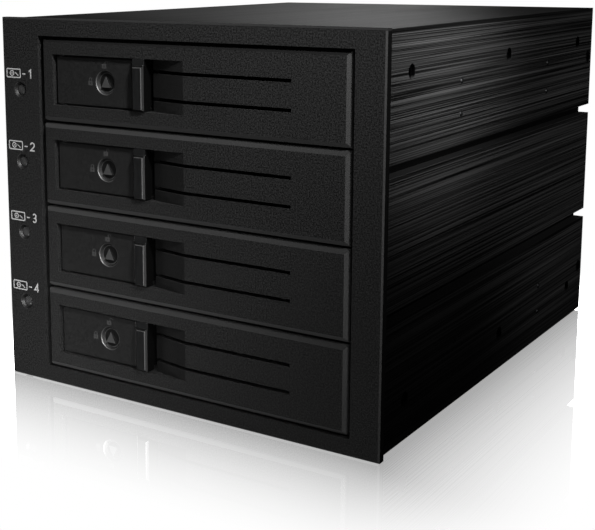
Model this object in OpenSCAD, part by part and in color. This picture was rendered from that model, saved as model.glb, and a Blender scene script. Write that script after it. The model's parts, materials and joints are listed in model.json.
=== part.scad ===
// Hot-swap cage for four 3.5-inch drives, sized for three 5.25-inch bays.
// Origin: bottom centre of the bezel's front face. X right, Y towards the rear, Z up. Millimetres.

/* [Bezel] */
// Width of the bezel
bezel_w = 148.5; // [148:0.1:149]
// Height of the bezel
bezel_h = 129; // [128.6:0.1:130]
// Thickness of the bezel plate
bezel_t = 3; // [2.6:0.1:3.2]
// Width of the bezel's tray opening
opening_w = 121.8; // [121.4:0.1:122]
// Height of the bezel's tray opening
opening_h = 117.25; // [117.2:0.05:117.6]
// Sideways offset of the trays from the middle
tray_x = 3.35; // [3.2:0.05:3.5]

/* [Case] */
// Width across the folded case
case_w = 146.2; // [146:0.1:146.6]
// Height of the folded case
case_h = 127.8; // [127.6:0.1:128]
// Rear edge of the case, measured from the bezel's face
case_rear = 193; // [193:0.5:196]
// Thickness of the case's sheet
sheet = 1.2; // [1:0.1:1.3]
// Depth of the grooves in the sides
groove_depth = 4.1; // [3.6:0.1:4.2]
// Height of each groove
groove_h = 3.6; // [3:0.1:3.8]

/* [Trays] */
// Distance from one tray to the next
tray_pitch = 29.3; // [29.2:0.05:29.4]
// Width of a tray's front
tray_w = 119.7; // [119.4:0.1:120]
// Height of a tray's front
tray_h = 28.6; // [28.2:0.1:28.7]
// Bevel around a tray's front
tray_bevel = 1.6; // [1.2:0.1:1.8]
// Height of the pocket that holds the lever
pocket_h = 17.25; // [17:0.05:17.4]
// Height of each air slot
slot_h = 1.2; // [1:0.1:1.4]

/* [Fan] */
// Side of the square fan frame
fan_size = 80; // [80]
// Depth of the fan frame
fan_depth = 15; // [14:0.5:15]
// Number of fan blades
blade_count = 7; // [5:1:9]

/* [Hidden] */
$fn = 48;
eps = 0.01;
TRAYS = [1:4];
TRAY_PIECES = ["front", "base", "screws", "lever", "lever_pin", "latch", "latch_spring", "lock_core"];
CAGE_PIECES = [
    "front_bezel", "light_guides", "indicator_board", "indicators", "indicator_screws", "indicator_cable",
    "case_shell", "bottom_plate", "bottom_screws", "side_threads", "guide_rail_left", "guide_rail_right",
    "rail_rivets", "bezel_screws", "backplane_board", "drive_connectors", "data_ports", "power_ports",
    "fan_header", "backplane_screws", "rear_panel", "rear_panel_screws", "fan_frame", "fan_rotor",
    "fan_guard", "fan_screws", "fan_cable"
];

// Fits between pieces
press_gap = 0.01;
run_gap = 0.05;
screw_gap = 0.05;

// Case outline and its grooves
case_bottom = 0.8;
case_top = case_bottom + case_h;
case_x = case_w / 2;
inner_x = case_x - sheet;
groove_zs = [42.5, 87];
rib_x = case_x - groove_depth - sheet;
flange_w = 12;
plate_top = case_bottom + 2 * sheet;
bottom_screw_ys = [20, 98, 176];
bottom_screw_x = case_x - 6.5;

// Tray opening
opening_z0 = 5.7;
opening_z = [opening_z0, opening_z0 + opening_h];
opening_x = [tray_x - opening_w / 2, tray_x + opening_w / 2];
tray_mid_z = opening_z0 + opening_h / 2;
collar_t = 1.5;
collar_rear = 9;

// Depth positions of a tray, from its face
front_wall = 2.6;
tray_corner_r = 1.8;
skirt_t = 1.6;
skirt_rear = 12;
pocket_floor = 5.8;
tub_wall = 1.4;
base_sheet = 1.2;
base_rear = 160;
base_half = 52.6;
base_floor = -13.4;
base_top = 6;
flange_half = 56;
tray_screw_x = 54.8;
tray_screw_z = -4;

// Space and screw holes of a 3.5-inch drive
drive_rear = 162;
drive_hole_rows = [41.28, 85.73];
drive_hole_w = 95.25;
drive_hole_r = 1.9;

// Lever pocket, measured along X in the cage's frame
pocket_left = -51;
pocket_right = 3.55;
scoop_left = -10.2;
scoop_depth = 2.75;
slot_right = 43.2;
slot_offset = 4.45;
lever_left = -50.2;
lever_right = -17.3;
lever_face = 1;
lever_rear = 3.4;
lever_half_h = 8.35;
lever_bevel = 0.5;
pin_x = -48.2;
pin_y = 3;
pin_r = 0.75;
knuckle_r = 2;
rib_h = 1.15;
rib_rear = 5.4;
rib_right = -12;
lock_x = -28.8;
lock_r = 3.25;
lock_ring_r = 4.15;
lock_boss_r = 4.9;
lock_boss_rear = 7;
latch_x = [-16.5, -11.7];
latch_face = -1.2;
latch_rear = 3.2;
latch_half_h = 8.45;
tongue_y = [3.6, 4.8];
tongue_left = -23;
tongue_half_h = 7;

// Guide rails
guide_y = [16, 168];
guide_inner = 56.5;
guide_t = 2;
guide_z = [4.4, 124];
ledge_inner = 53;
ledge_t = 1.6;
rivet_ys = [57, 139.2];
rivet_zs = [12.3, 22.6, 99, 109.7];
rivet_r = 0.8;
bezel_screws_left = [[-64, 11], [-64, 118]];
bezel_screws_right = [[68.6, 26], [68.6, 104]];
bezel_screw_spots = concat(bezel_screws_left, bezel_screws_right);
rail_tab_t = 1.6;

// Screw threads in the sides
thread_ys = [19.2, 98.45, 174.6];
thread_zs = [14.1, 115.4];
thread_r = 1.5;
thread_body_r = 3.4;
side_hole_r = 2.4;

// Indicators in the bezel's left column
light_x = -66.3;
light_pitch = 25.4;
light_mid_z = 65.95;
light_r = 1.8;
light_ring_r = 2.75;
light_zs = [for (i = TRAYS) light_mid_z + (2.5 - i) * light_pitch];
light_board_y = [10, 11.6];
light_board_screw_zs = [40, 91];
light_board_screw_x = -63.5;

// Backplane board and its screws
board_y = [168, 169.6];
board_screw_x = [-61, 64.6];
board_screw_zs = [12, 117];
header_z = 116;

// Rear panel and fan
panel_y = [case_rear - 1.4, case_rear - 0.2];
panel_x = 71.7;
panel_screw_y = case_rear - 4.1;
panel_screw_zs = [20, 109];
fan_x = 25;
fan_y = [panel_y[0] - fan_depth, panel_y[0]];
fan_hole_pitch = 71.5;
fan_hole_r = 2.15;
fan_bore_r = 38;
hub_r = 15;
shaft_r = 1.5;
guard_wire_r = 0.7;
guard_spoke_r = 0.8;
guard_y = panel_y[1] + guard_spoke_r;

function tray_z(i) = tray_mid_z + (2.5 - i) * tray_pitch;

// Stretch along X from one distance out to the next, on the right (1) or the left (-1)
function outwards(side, near, far) = side > 0 ? [near, far] : [-far, -near];

// ---- shared shapes ----

module block(x, y, z) {
    translate([x[0], y[0], z[0]])
        cube([x[1] - x[0], y[1] - y[0], z[1] - z[0]]);
}

module rod_x(x, y, z, r) {
    translate([x[0], y, z])
        rotate([0, 90, 0])
            cylinder(h = x[1] - x[0], r = r);
}

module rod_y(x, y, z, r) {
    translate([x, y[0], z])
        rotate([-90, 0, 0])
            cylinder(h = y[1] - y[0], r = r);
}

module rod_z(x, y, z, r) {
    translate([x, y, z[0]])
        cylinder(h = z[1] - z[0], r = r);
}

// Block whose four front edges are cut at 45 degrees, with mitred corners
module front_beveled(x, y, z, c) {
    intersection() {
        translate([0, 0, z[0]])
            linear_extrude(z[1] - z[0])
                polygon([
                    [x[0], y[1]], [x[0], y[0] + c], [x[0] + c, y[0]],
                    [x[1] - c, y[0]], [x[1], y[0] + c], [x[1], y[1]]
                ]);
        translate([x[0], 0, 0])
            rotate([90, 0, 90])
                linear_extrude(x[1] - x[0])
                    polygon([
                        [y[1], z[0]], [y[0] + c, z[0]], [y[0], z[0] + c],
                        [y[0], z[1] - c], [y[0] + c, z[1]], [y[1], z[1]]
                    ]);
    }
}

// Block whose two left corners are rounded, as seen from the front
module round_left_block(x, y, z, r) {
    block([x[0] + r, x[1]], y, z);
    block([x[0], x[0] + r + eps], y, [z[0] + r, z[1] - r]);
    for (corner_z = [z[0] + r, z[1] - r])
        rod_y(x[0] + r, y, corner_z, r);
}

// Pan-head screw that points down, with its head's seat at z = 0
module pan_screw(shank_r, length, head_r, head_h) {
    slot_w = head_r * 0.35;
    difference() {
        union() {
            cylinder(h = head_h, r = head_r);
            translate([0, 0, -length])
                cylinder(h = length + eps, r = shank_r);
        }
        for (turn = [0, 90])
            rotate(turn)
                translate([-head_r * 0.6, -slot_w / 2, head_h * 0.45])
                    cube([head_r * 1.2, slot_w, head_h]);
    }
}

// Countersunk screw that points down, with its head's flat at z = 0
module flat_screw(shank_r, length, head_r, head_h) {
    slot_w = head_r * 0.3;
    difference() {
        union() {
            translate([0, 0, -head_h])
                cylinder(h = head_h, r1 = shank_r, r2 = head_r);
            translate([0, 0, -length])
                cylinder(h = length - head_h + eps, r = shank_r);
        }
        for (turn = [0, 90])
            rotate(turn)
                translate([-head_r * 0.6, -slot_w / 2, -head_h * 0.5])
                    cube([head_r * 1.2, slot_w, head_h]);
    }
}

// Places its children at each rear-facing screw position, with +Z turned to +Y
module facing_rear(x, y, z) {
    translate([x, y, z])
        rotate([-90, 0, 0])
            children();
}

// Places its children with +Z turned outwards to the right (1) or the left (-1)
module facing_side(side, x, y, z) {
    translate([side * x, y, z])
        rotate([0, side * 90, 0])
            children();
}

// ---- bezel and indicators ----

module front_bezel() {
    boss_r = 2.7;
    pilot_r = 1.15;
    color("#1d1d1e")
        difference() {
            union() {
                front_beveled([-bezel_w / 2, bezel_w / 2], [0, bezel_t], [0, bezel_h], 0.5);
                block([opening_x[0] - collar_t, opening_x[1] + collar_t],
                      [bezel_t - eps, collar_rear],
                      [opening_z[0] - collar_t, opening_z[1] + collar_t]);
                for (spot = bezel_screw_spots)
                    rod_y(spot[0], [bezel_t - eps, guide_y[0]], spot[1], boss_r);
                for (z = light_board_screw_zs)
                    rod_y(light_board_screw_x, [bezel_t - eps, light_board_y[0]], z, 2);
            }
            block(opening_x, [-1, collar_rear + 1], opening_z);
            for (z = light_zs) {
                rod_y(light_x, [-1, bezel_t + 1], z, light_r + run_gap);
                translate([light_x, -eps, z])
                    rotate([-90, 0, 0])
                        cylinder(h = light_ring_r - light_r, r1 = light_ring_r, r2 = light_r + run_gap);
            }
            for (spot = bezel_screw_spots)
                rod_y(spot[0], [bezel_t + 2, guide_y[0] + 1], spot[1], pilot_r);
            for (z = light_board_screw_zs)
                rod_y(light_board_screw_x, [bezel_t + 2, light_board_y[0] + 1], z, 0.9);
        }
}

module light_guides() {
    lens_y = [0.45, 8.65];
    color("#5c5c60")
        for (z = light_zs)
            translate([light_x, lens_y[0], z])
                rotate([-90, 0, 0])
                    rotate_extrude()
                        polygon([
                            [0, 0], [light_r * 0.7, 0.1], [light_r, 0.35],
                            [light_r, lens_y[1] - lens_y[0]], [0, lens_y[1] - lens_y[0]]
                        ]);
}

module indicator_board() {
    rib_gap = 1;
    color("#143d24")
        difference() {
            block([-71, -60.2], light_board_y, [20, 112]);
            for (z = groove_zs)
                block([-72, -rib_x + 0.6],
                      [light_board_y[0] - 1, light_board_y[1] + 1],
                      [z - groove_h / 2 - sheet - rib_gap, z + groove_h / 2 + sheet + rib_gap]);
            for (z = light_board_screw_zs)
                rod_y(light_board_screw_x, [light_board_y[0] - 1, light_board_y[1] + 1], z, 0.9 + screw_gap);
        }
}

module indicators() {
    color("#d8dcd2")
        for (z = light_zs)
            block([light_x - 1.6, light_x + 1.6], [8.8, light_board_y[0]], [z - 0.8, z + 0.8]);
}

module indicator_screws() {
    color("#8b8e92")
        for (z = light_board_screw_zs)
            facing_rear(light_board_screw_x, light_board_y[1], z)
                pan_screw(0.9 - screw_gap, 6, 1.8, 1.2);
}

// Ribbon cable with a plug at each end
module indicator_cable() {
    ribbon_z = [60.5, 67.5];
    plug_z = [59.5, 68.5];
    color("#2c2c30")
        union() {
            block([-64.8, -60.6], [light_board_y[1], 15.6], plug_z);
            block([-63.1, -62.3], [15.6 - eps, 163 + eps], ribbon_z);
            block([-64.8, -60.6], [163, board_y[0]], plug_z);
        }
}

// ---- case ----

// Both grooves of one side, as bars that reach in from outside the case
module side_grooves(side, depth, height, y) {
    for (z = groove_zs)
        block(outwards(side, case_x - depth, case_x + 1), y, [z - height / 2, z + height / 2]);
}

module case_shell() {
    y = [bezel_t, case_rear];
    inside_y = [bezel_t - 1, case_rear + 1];
    color("#232325")
        difference() {
            block([-case_x, case_x], y, [case_bottom, case_top]);
            difference() {
                block([-inner_x, inner_x], inside_y, [case_bottom + sheet, case_top - sheet]);
                for (side = [-1, 1])
                    side_grooves(side, groove_depth + sheet, groove_h + 2 * sheet, inside_y);
            }
            for (side = [-1, 1])
                side_grooves(side, groove_depth, groove_h, inside_y);
            block([-case_x + flange_w, case_x - flange_w], inside_y,
                  [case_bottom - 1, case_bottom + sheet + eps]);
            for (side = [-1, 1]) {
                for (hole_y = thread_ys, z = thread_zs)
                    facing_side(side, inner_x - 1, hole_y, z)
                        cylinder(h = sheet + 2, r = side_hole_r);
                for (hole_y = rivet_ys, z = rivet_zs)
                    facing_side(side, inner_x - 1, hole_y, z)
                        cylinder(h = sheet + 2, r = rivet_r + press_gap);
                for (z = panel_screw_zs)
                    panel_screw_seat(side, z);
                for (hole_y = bottom_screw_ys)
                    bottom_screw_seat(side, hole_y);
            }
        }
}

// Countersunk hole through the side for a rear panel screw
module panel_screw_seat(side, z) {
    facing_side(side, inner_x - 1, panel_screw_y, z)
        cylinder(h = sheet + 1, r = 1.5);
    facing_side(side, case_x - 1, panel_screw_y, z)
        cylinder(h = 1 + eps, r1 = 1.5, r2 = 2.45);
}

// Countersunk hole up through the bottom flange
module bottom_screw_seat(side, y) {
    rod_z(side * bottom_screw_x, y, [case_bottom - 1, case_bottom + sheet + 1], 1.5);
    translate([side * bottom_screw_x, y, case_bottom - eps])
        cylinder(h = 1, r1 = 2.45, r2 = 1.5);
}

module bottom_plate() {
    plate_x = inner_x - 0.2;
    vent_length = 36;
    vent_z = [case_bottom, plate_top + 1];
    color("#232325")
        difference() {
            block([-plate_x, plate_x], [bezel_t + 1.5, panel_y[0] - 0.4], [case_bottom + sheet, plate_top]);
            for (side = [-1, 1], y = bottom_screw_ys)
                rod_z(side * bottom_screw_x, y, [case_bottom, plate_top + 1], 1.4 + screw_gap);
            for (x = [-36:12:36], y = [40, 110]) {
                block([x - 2, x + 2], [y, y + vent_length], vent_z);
                rod_z(x, y, vent_z, 2);
                rod_z(x, y + vent_length, vent_z, 2);
            }
        }
}

module bottom_screws() {
    color("#3a3a3d")
        for (side = [-1, 1], y = bottom_screw_ys)
            translate([side * bottom_screw_x, y, case_bottom])
                rotate([180, 0, 0])
                    flat_screw(1.4, 2 * sheet + 0.6, 2.4, 1);
}

module side_threads() {
    color("#9a9da0")
        for (side = [-1, 1], y = thread_ys, z = thread_zs)
            facing_side(side, inner_x - 2.2, y, z)
                difference() {
                    cylinder(h = 2.2, r = thread_body_r);
                    translate([0, 0, -1])
                        cylinder(h = 5, r = thread_r);
                }
}

// ---- guide rails ----

// One rail: a plate, a pair of ledges for each tray, stand-offs to the case and end tabs
module guide_rail(side) {
    plate = side * tray_x + guide_inner;
    ledge = side * tray_x + ledge_inner;
    plate_x = outwards(side, plate, plate + guide_t);
    front_screws = side > 0 ? bezel_screws_right : bezel_screws_left;
    rear_screw_x = side > 0 ? board_screw_x[1] : board_screw_x[0];
    rivet_hole = 6;
    tab_reach = 2.6;
    difference() {
        union() {
            block(plate_x, guide_y, guide_z);
            for (i = TRAYS, z = [3, 6.2])
                block(outwards(side, ledge, plate + eps), guide_y, [tray_z(i) + z, tray_z(i) + z + ledge_t]);
            for (y = rivet_ys, z = rivet_zs)
                facing_side(side, plate + 1, y, z)
                    cylinder(h = inner_x - plate - 1, r = 3);
            for (spot = front_screws)
                block(outwards(side, plate + 1, side * spot[0] + tab_reach),
                      [guide_y[0], guide_y[0] + rail_tab_t], [spot[1] - 4, spot[1] + 4]);
            for (z = board_screw_zs)
                block(outwards(side, plate + 1, side * rear_screw_x + tab_reach),
                      [guide_y[1] - 4, guide_y[1]], [z - 4, z + 4]);
        }
        for (y = rivet_ys, z = rivet_zs)
            facing_side(side, inner_x - rivet_hole, y, z)
                cylinder(h = rivet_hole + 1, r = rivet_r + press_gap);
        for (spot = front_screws)
            rod_y(spot[0], [guide_y[0] - 1, guide_y[0] + rail_tab_t + 1], spot[1], 1.25);
        for (z = board_screw_zs)
            rod_y(rear_screw_x, [guide_y[1] - 3.4, guide_y[1] + 1], z, 1.2 + screw_gap);
        for (i = TRAYS, y = [30, 70, 110])
            block([plate_x[0] - 1, plate_x[1] + 1], [y, y + 18], [tray_z(i) - 10, tray_z(i) - 1]);
    }
}

module guide_rail_left() {
    color("#2a2a2c")
        guide_rail(-1);
}

module guide_rail_right() {
    color("#2a2a2c")
        guide_rail(1);
}

module rail_rivets() {
    color("#b0b3b6")
        for (side = [-1, 1], y = rivet_ys, z = rivet_zs)
            facing_side(side, case_x, y, z)
                union() {
                    translate([0, 0, -sheet - 4])
                        cylinder(h = sheet + 4 + eps, r = rivet_r);
                    cylinder(h = 0.3, r1 = 1.05, r2 = 0.7);
                }
}

module bezel_screws() {
    color("#3a3a3d")
        for (spot = bezel_screw_spots)
            facing_rear(spot[0], guide_y[0] + rail_tab_t, spot[1])
                pan_screw(1.1, 10, 2.2, 1.4);
}

// ---- backplane ----

module backplane_board() {
    color("#123a22")
        difference() {
            block([-66, 67.2], board_y, [5, 123]);
            for (i = TRAYS)
                block([-6, 56], [board_y[0] - 1, board_y[1] + 1], [tray_z(i) - 3, tray_z(i) + 11]);
            for (x = board_screw_x, z = board_screw_zs)
                rod_y(x, [board_y[0] - 1, board_y[1] + 1], z, 1.3);
        }
}

// Combined data and power socket that one drive plugs into
module drive_connectors() {
    socket_x = [tray_x - 41, tray_x + 1];
    color("#1a1a1a")
        for (i = TRAYS) {
            z = tray_z(i) - 8.6;
            difference() {
                block(socket_x, [drive_rear + 0.4, board_y[0]], [z - 3, z + 3]);
                for (mouth_x = [[2, 23.5], [26, 38]])
                    block([socket_x[0] + mouth_x[0], socket_x[0] + mouth_x[1]],
                          [drive_rear, board_y[0] - 1.4], [z - 1.3, z + 1]);
            }
        }
}

// Upright data sockets on the rear of the board, one for each drive
module data_ports() {
    port_rear = board_y[1] + 8.6;
    color("#1c1c1e")
        for (i = TRAYS) {
            z = tray_z(i);
            difference() {
                block([-35, -28.4], [board_y[1], port_rear], [z - 8, z + 8]);
                block([-33.6, -31.2], [board_y[1] + 1.6, port_rear + 1], [z - 5.4, z + 5.4]);
                block([-31.4, -30.2], [board_y[1] + 1.6, port_rear + 1], [z + 4, z + 5.4]);
            }
        }
}

// Four-pin power sockets on the rear of the board
module power_ports() {
    port_rear = board_y[1] + 12;
    pin_pitch = 5.08;
    color("#e4e2da")
        for (mid_z = [40.5, 88]) {
            difference() {
                block([-55.4, -45.6], [board_y[1], port_rear], [mid_z - 11.5, mid_z + 11.5]);
                block([-54.2, -46.8], [board_y[1] + 1.6, port_rear + 1], [mid_z - 10.3, mid_z + 10.3]);
            }
            for (k = [-1.5:1:1.5])
                rod_y(-50.5, [board_y[1] + 1, port_rear - 2], mid_z + k * pin_pitch, 1.05);
        }
}

module fan_header() {
    color("#e4e2da")
        difference() {
            block([-24, -14], [board_y[1], board_y[1] + 6], [header_z - 3, header_z + 3]);
            block([-23, -15], [board_y[1] + 3, board_y[1] + 7], [header_z - 2, header_z + 2]);
        }
}

module backplane_screws() {
    color("#8b8e92")
        for (x = board_screw_x, z = board_screw_zs)
            facing_rear(x, board_y[1], z)
                pan_screw(1.2, 4.6, 2.3, 1.4);
}

// ---- rear panel and fan ----

module rear_panel() {
    hole_d = fan_hole_pitch / 2;
    rib_clear = 0.4;
    tab_front = case_rear - 9;
    color("#2a2a2c")
        difference() {
            union() {
                block([-panel_x, panel_x], panel_y, [plate_top - sheet + 0.2, case_top - sheet - 0.2]);
                for (side = [-1, 1], z = panel_screw_zs)
                    block(outwards(side, panel_x - sheet, panel_x), [tab_front, panel_y[1]], [z - 7, z + 7]);
            }
            for (side = [-1, 1], z = groove_zs)
                block(outwards(side, rib_x - rib_clear, panel_x + 1), [tab_front, panel_y[1] + 1],
                      [z - groove_h / 2 - sheet - rib_clear, z + groove_h / 2 + sheet + rib_clear]);
            rod_y(fan_x, [panel_y[0] - 1, panel_y[1] + 1], tray_mid_z, fan_bore_r);
            for (dx = [-hole_d, hole_d], dz = [-hole_d, hole_d])
                rod_y(fan_x + dx, [panel_y[0] - 1, panel_y[1] + 1], tray_mid_z + dz, fan_hole_r);
            block([-60, -22], [panel_y[0] - 1, panel_y[1] + 1], [12, 118]);
            for (side = [-1, 1], z = panel_screw_zs)
                facing_side(side, panel_x - sheet - 1, panel_screw_y, z)
                    cylinder(h = sheet + 2, r = 1.3 + screw_gap);
        }
}

module rear_panel_screws() {
    color("#3a3a3d")
        for (side = [-1, 1], z = panel_screw_zs)
            facing_side(side, case_x, panel_screw_y, z)
                flat_screw(1.3, 4.4, 2.35, 1);
}

module fan_frame() {
    half = fan_size / 2;
    hole_d = fan_hole_pitch / 2;
    flange_t = 3.5;
    stator_y = [fan_y[1] - 2.2, fan_y[1]];
    color("#19191a")
        difference() {
            union() {
                difference() {
                    union() {
                        for (y = [fan_y[0], fan_y[1] - flange_t])
                            intersection() {
                                block([fan_x - half, fan_x + half], [y, y + flange_t],
                                      [tray_mid_z - half, tray_mid_z + half]);
                                rod_y(fan_x, [y, y + flange_t], tray_mid_z, half * 1.34);
                            }
                        rod_y(fan_x, fan_y, tray_mid_z, fan_bore_r + 1.9);
                    }
                    rod_y(fan_x, [fan_y[0] - 1, fan_y[1] + 1], tray_mid_z, fan_bore_r);
                }
                rod_y(fan_x, stator_y, tray_mid_z, hub_r + 0.5);
                for (k = [0:3])
                    translate([fan_x, 0, tray_mid_z])
                        rotate([0, 45 + 90 * k, 0])
                            block([hub_r - 1, fan_bore_r + 1], stator_y, [-1.6, 1.6]);
            }
            for (dx = [-hole_d, hole_d], dz = [-hole_d, hole_d])
                rod_y(fan_x + dx, [fan_y[0] - 1, fan_y[1] + 1], tray_mid_z + dz, fan_hole_r);
            rod_y(fan_x, [stator_y[0] - 1, stator_y[1] - 0.6], tray_mid_z, shaft_r + run_gap);
        }
}

// Hub with a shaft and pitched blades
module fan_rotor() {
    blade_r = fan_bore_r - 1;
    blade_y = [fan_y[0] + 1.2, fan_y[1] - 3];
    blade_mid = (blade_y[0] + blade_y[1]) / 2;
    blade_pitch = 38;
    color("#242426")
        union() {
            rod_y(fan_x, blade_y, tray_mid_z, hub_r);
            rod_y(fan_x, [blade_y[1] - eps, fan_y[1] - 1], tray_mid_z, shaft_r);
            intersection() {
                rod_y(fan_x, blade_y, tray_mid_z, blade_r);
                for (k = [0:blade_count - 1])
                    translate([fan_x, blade_mid, tray_mid_z])
                        rotate([0, 360 * k / blade_count, 0])
                            rotate([blade_pitch, 0, 0])
                                translate([hub_r - 2, -0.6, -10])
                                    cube([blade_r, 1.2, 20]);
            }
        }
}

// Wire rings welded onto spokes that end in screw loops
module fan_guard() {
    hole_r = norm([fan_hole_pitch, fan_hole_pitch]) / 2;
    loop_r = 3.2;
    ring_rs = [8:7.4:38];
    spoke_start = 6.5;
    color("#c4c7ca")
        translate([fan_x, guard_y, tray_mid_z])
            rotate([-90, 0, 0])
                union() {
                    for (r = ring_rs)
                        translate([0, 0, guard_spoke_r])
                            rotate_extrude()
                                translate([r, 0])
                                    circle(r = guard_wire_r);
                    for (turn = [45:90:315])
                        rotate(turn) {
                            translate([spoke_start, 0, 0])
                                rotate([0, 90, 0])
                                    cylinder(h = hole_r - loop_r - spoke_start - 0.45, r = guard_spoke_r);
                            translate([hole_r, 0, 0])
                                rotate_extrude()
                                    translate([loop_r, 0])
                                        circle(r = guard_wire_r);
                        }
                }
}

module fan_screws() {
    hole_d = fan_hole_pitch / 2;
    color("#3a3a3d")
        for (dx = [-hole_d, hole_d], dz = [-hole_d, hole_d])
            facing_rear(fan_x + dx, guard_y + guard_wire_r, tray_mid_z + dz)
                pan_screw(2, 10, 3.6, 1.6);
}

// Cable from the fan's frame to the header on the board
module fan_cable() {
    cable_r = 1.1;
    x0 = fan_x - fan_size / 2 - 4;
    y0 = board_y[1] + 4.2;
    y1 = fan_y[0] + 5;
    z0 = tray_mid_z + 20;
    color("#18181a")
        union() {
            block([-22.8, -15.2], [board_y[1] + 3, board_y[1] + 9], [header_z - 1.8, header_z + 1.8]);
            translate([x0, y1, 0]) {
                rod_z(0, 0, [z0, header_z], cable_r);
                sphere_at([0, 0, z0], cable_r);
            }
            rod_x([x0, fan_x - fan_bore_r + 2.7], y1, z0, cable_r);
            rod_y(x0, [y0, y1], header_z, cable_r);
            sphere_at([x0, y1, header_z], cable_r);
        }
}

module sphere_at(place, r) {
    translate(place)
        sphere(r = r);
}

// ---- trays ----

// Outline of the lever pocket and finger scoop, seen from above
module pocket_outline() {
    polygon([
        [pocket_left, -1], [pocket_left, pocket_floor], [scoop_left, pocket_floor],
        [scoop_left, scoop_depth], [pocket_right, 0], [pocket_right, -1]
    ]);
}

module tray_front(i) {
    z = tray_z(i);
    half_w = tray_w / 2;
    half_h = tray_h / 2;
    tub_half_h = pocket_h / 2 + tub_wall;
    color("#1d1d1e")
        translate([0, 0, z])
            difference() {
                union() {
                    difference() {
                        intersection() {
                            front_beveled([tray_x - half_w, tray_x + half_w], [0, skirt_rear],
                                          [-half_h, half_h], tray_bevel);
                            round_left_block([tray_x - half_w, tray_x + half_w], [-1, skirt_rear + 1],
                                             [-half_h, half_h], tray_corner_r);
                        }
                        block([tray_x - half_w + skirt_t, tray_x + half_w - skirt_t],
                              [front_wall, skirt_rear + 1],
                              [-half_h + skirt_t, half_h - skirt_t]);
                    }
                    block([pocket_left - tub_wall, pocket_right + tub_wall],
                          [front_wall - 1, pocket_floor + tub_wall], [-tub_half_h, tub_half_h]);
                    for (side = [-1, 1])
                        rod_y(tray_x + side * tray_screw_x, [front_wall - 1, skirt_rear], tray_screw_z, 2.6);
                }
                translate([0, 0, -pocket_h / 2])
                    linear_extrude(pocket_h)
                        pocket_outline();
                block([lock_x - 6, lock_x + 8.3], [pocket_floor - 1, skirt_rear], [-7, 7]);
                for (side = [-1, 1]) {
                    block([scoop_left - eps, slot_right], [-1, skirt_rear],
                          [side * slot_offset - slot_h / 2, side * slot_offset + slot_h / 2]);
                    rod_y(tray_x + side * tray_screw_x, [front_wall + 1.4, skirt_rear + 1],
                          tray_screw_z, 1.15);
                }
                rod_z(pin_x, pin_y, [-tub_half_h + 0.1, tub_half_h - 0.1], pin_r + press_gap);
            }
}

// Sheet-metal carrier: floor, sides, outward slide flanges and two front ears
module tray_base(i) {
    z = tray_z(i);
    ear_half = 57.4;
    floor_z = [base_floor, base_floor + base_sheet];
    color("#3b3c3e")
        translate([tray_x, 0, z])
            difference() {
                union() {
                    block([-base_half, base_half], [skirt_rear, base_rear], floor_z);
                    for (side = [-1, 1]) {
                        block(outwards(side, base_half - base_sheet, base_half),
                              [skirt_rear, base_rear], [base_floor, base_top]);
                        block(outwards(side, base_half - eps, flange_half),
                              [guide_y[0], base_rear], [base_top - base_sheet, base_top]);
                        block(outwards(side, base_half - base_sheet, ear_half),
                              [skirt_rear, skirt_rear + base_sheet], [-9, 1.5]);
                    }
                    block([-base_half, base_half], [skirt_rear, skirt_rear + base_sheet], [base_floor, -9.5]);
                }
                for (y = [24, 96], x = [-38, 4])
                    block([x, x + 34], [y, y + 46], [base_floor - 1, base_floor + 2]);
                for (side = [-1, 1], row = drive_hole_rows)
                    rod_z(side * drive_hole_w / 2, drive_rear - row,
                          [base_floor - 1, base_floor + 3], drive_hole_r);
                for (side = [-1, 1])
                    rod_y(side * tray_screw_x, [skirt_rear - 1, skirt_rear + 3], tray_screw_z, 1.25);
            }
}

module tray_screws(i) {
    color("#3a3a3d")
        for (side = [-1, 1])
            facing_rear(tray_x + side * tray_screw_x, skirt_rear + base_sheet, tray_z(i) + tray_screw_z)
                pan_screw(1.1, 8, 2.1, 1.3);
}

// Panel, knuckle, stiffening ribs and lock seat
module tray_lever(i) {
    color("#1f1f20")
        translate([0, 0, tray_z(i)])
            difference() {
                union() {
                    front_beveled([lever_left, lever_right], [lever_face, lever_rear],
                                  [-lever_half_h, lever_half_h], lever_bevel);
                    rod_z(pin_x, pin_y, [-lever_half_h, lever_half_h], knuckle_r);
                    for (z = [-lever_half_h, lever_half_h - rib_h])
                        block([pin_x, rib_right], [lever_rear - eps, rib_rear], [z, z + rib_h]);
                    rod_y(lock_x, [lever_rear - eps, lock_boss_rear], 0, lock_boss_r);
                }
                rod_z(pin_x, pin_y, [-lever_half_h - 1, lever_half_h + 1], pin_r + run_gap);
                rod_y(lock_x, [lever_face - 1, lock_boss_rear + 1], 0, lock_r + run_gap);
                translate([lock_x, lever_face - eps, 0])
                    rotate([-90, 0, 0])
                        cylinder(h = 1, r1 = lock_ring_r, r2 = lock_r + run_gap);
            }
}

module tray_lever_pin(i) {
    half = pocket_h / 2 + tub_wall - 0.2;
    color("#9a9da0")
        translate([0, 0, tray_z(i)])
            rod_z(pin_x, pin_y, [-half, half], pin_r);
}

// Finger bar with a raised pad, and a flat tongue that slides behind the lever's panel
module tray_latch(i) {
    pad_bevel = 0.8;
    pad_top = latch_half_h - 2;
    bar_face = latch_face + 1;
    color("#303133")
        translate([0, 0, tray_z(i)]) {
            front_beveled(latch_x, [latch_face, bar_face + 0.5], [-latch_half_h, pad_top], pad_bevel);
            block(latch_x, [bar_face, latch_rear], [-latch_half_h, latch_half_h]);
            block(latch_x, [latch_rear - eps, tongue_y[0] + eps], [-tongue_half_h, tongue_half_h]);
            block([tongue_left, latch_x[1]], tongue_y, [-tongue_half_h, tongue_half_h]);
        }
}

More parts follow.
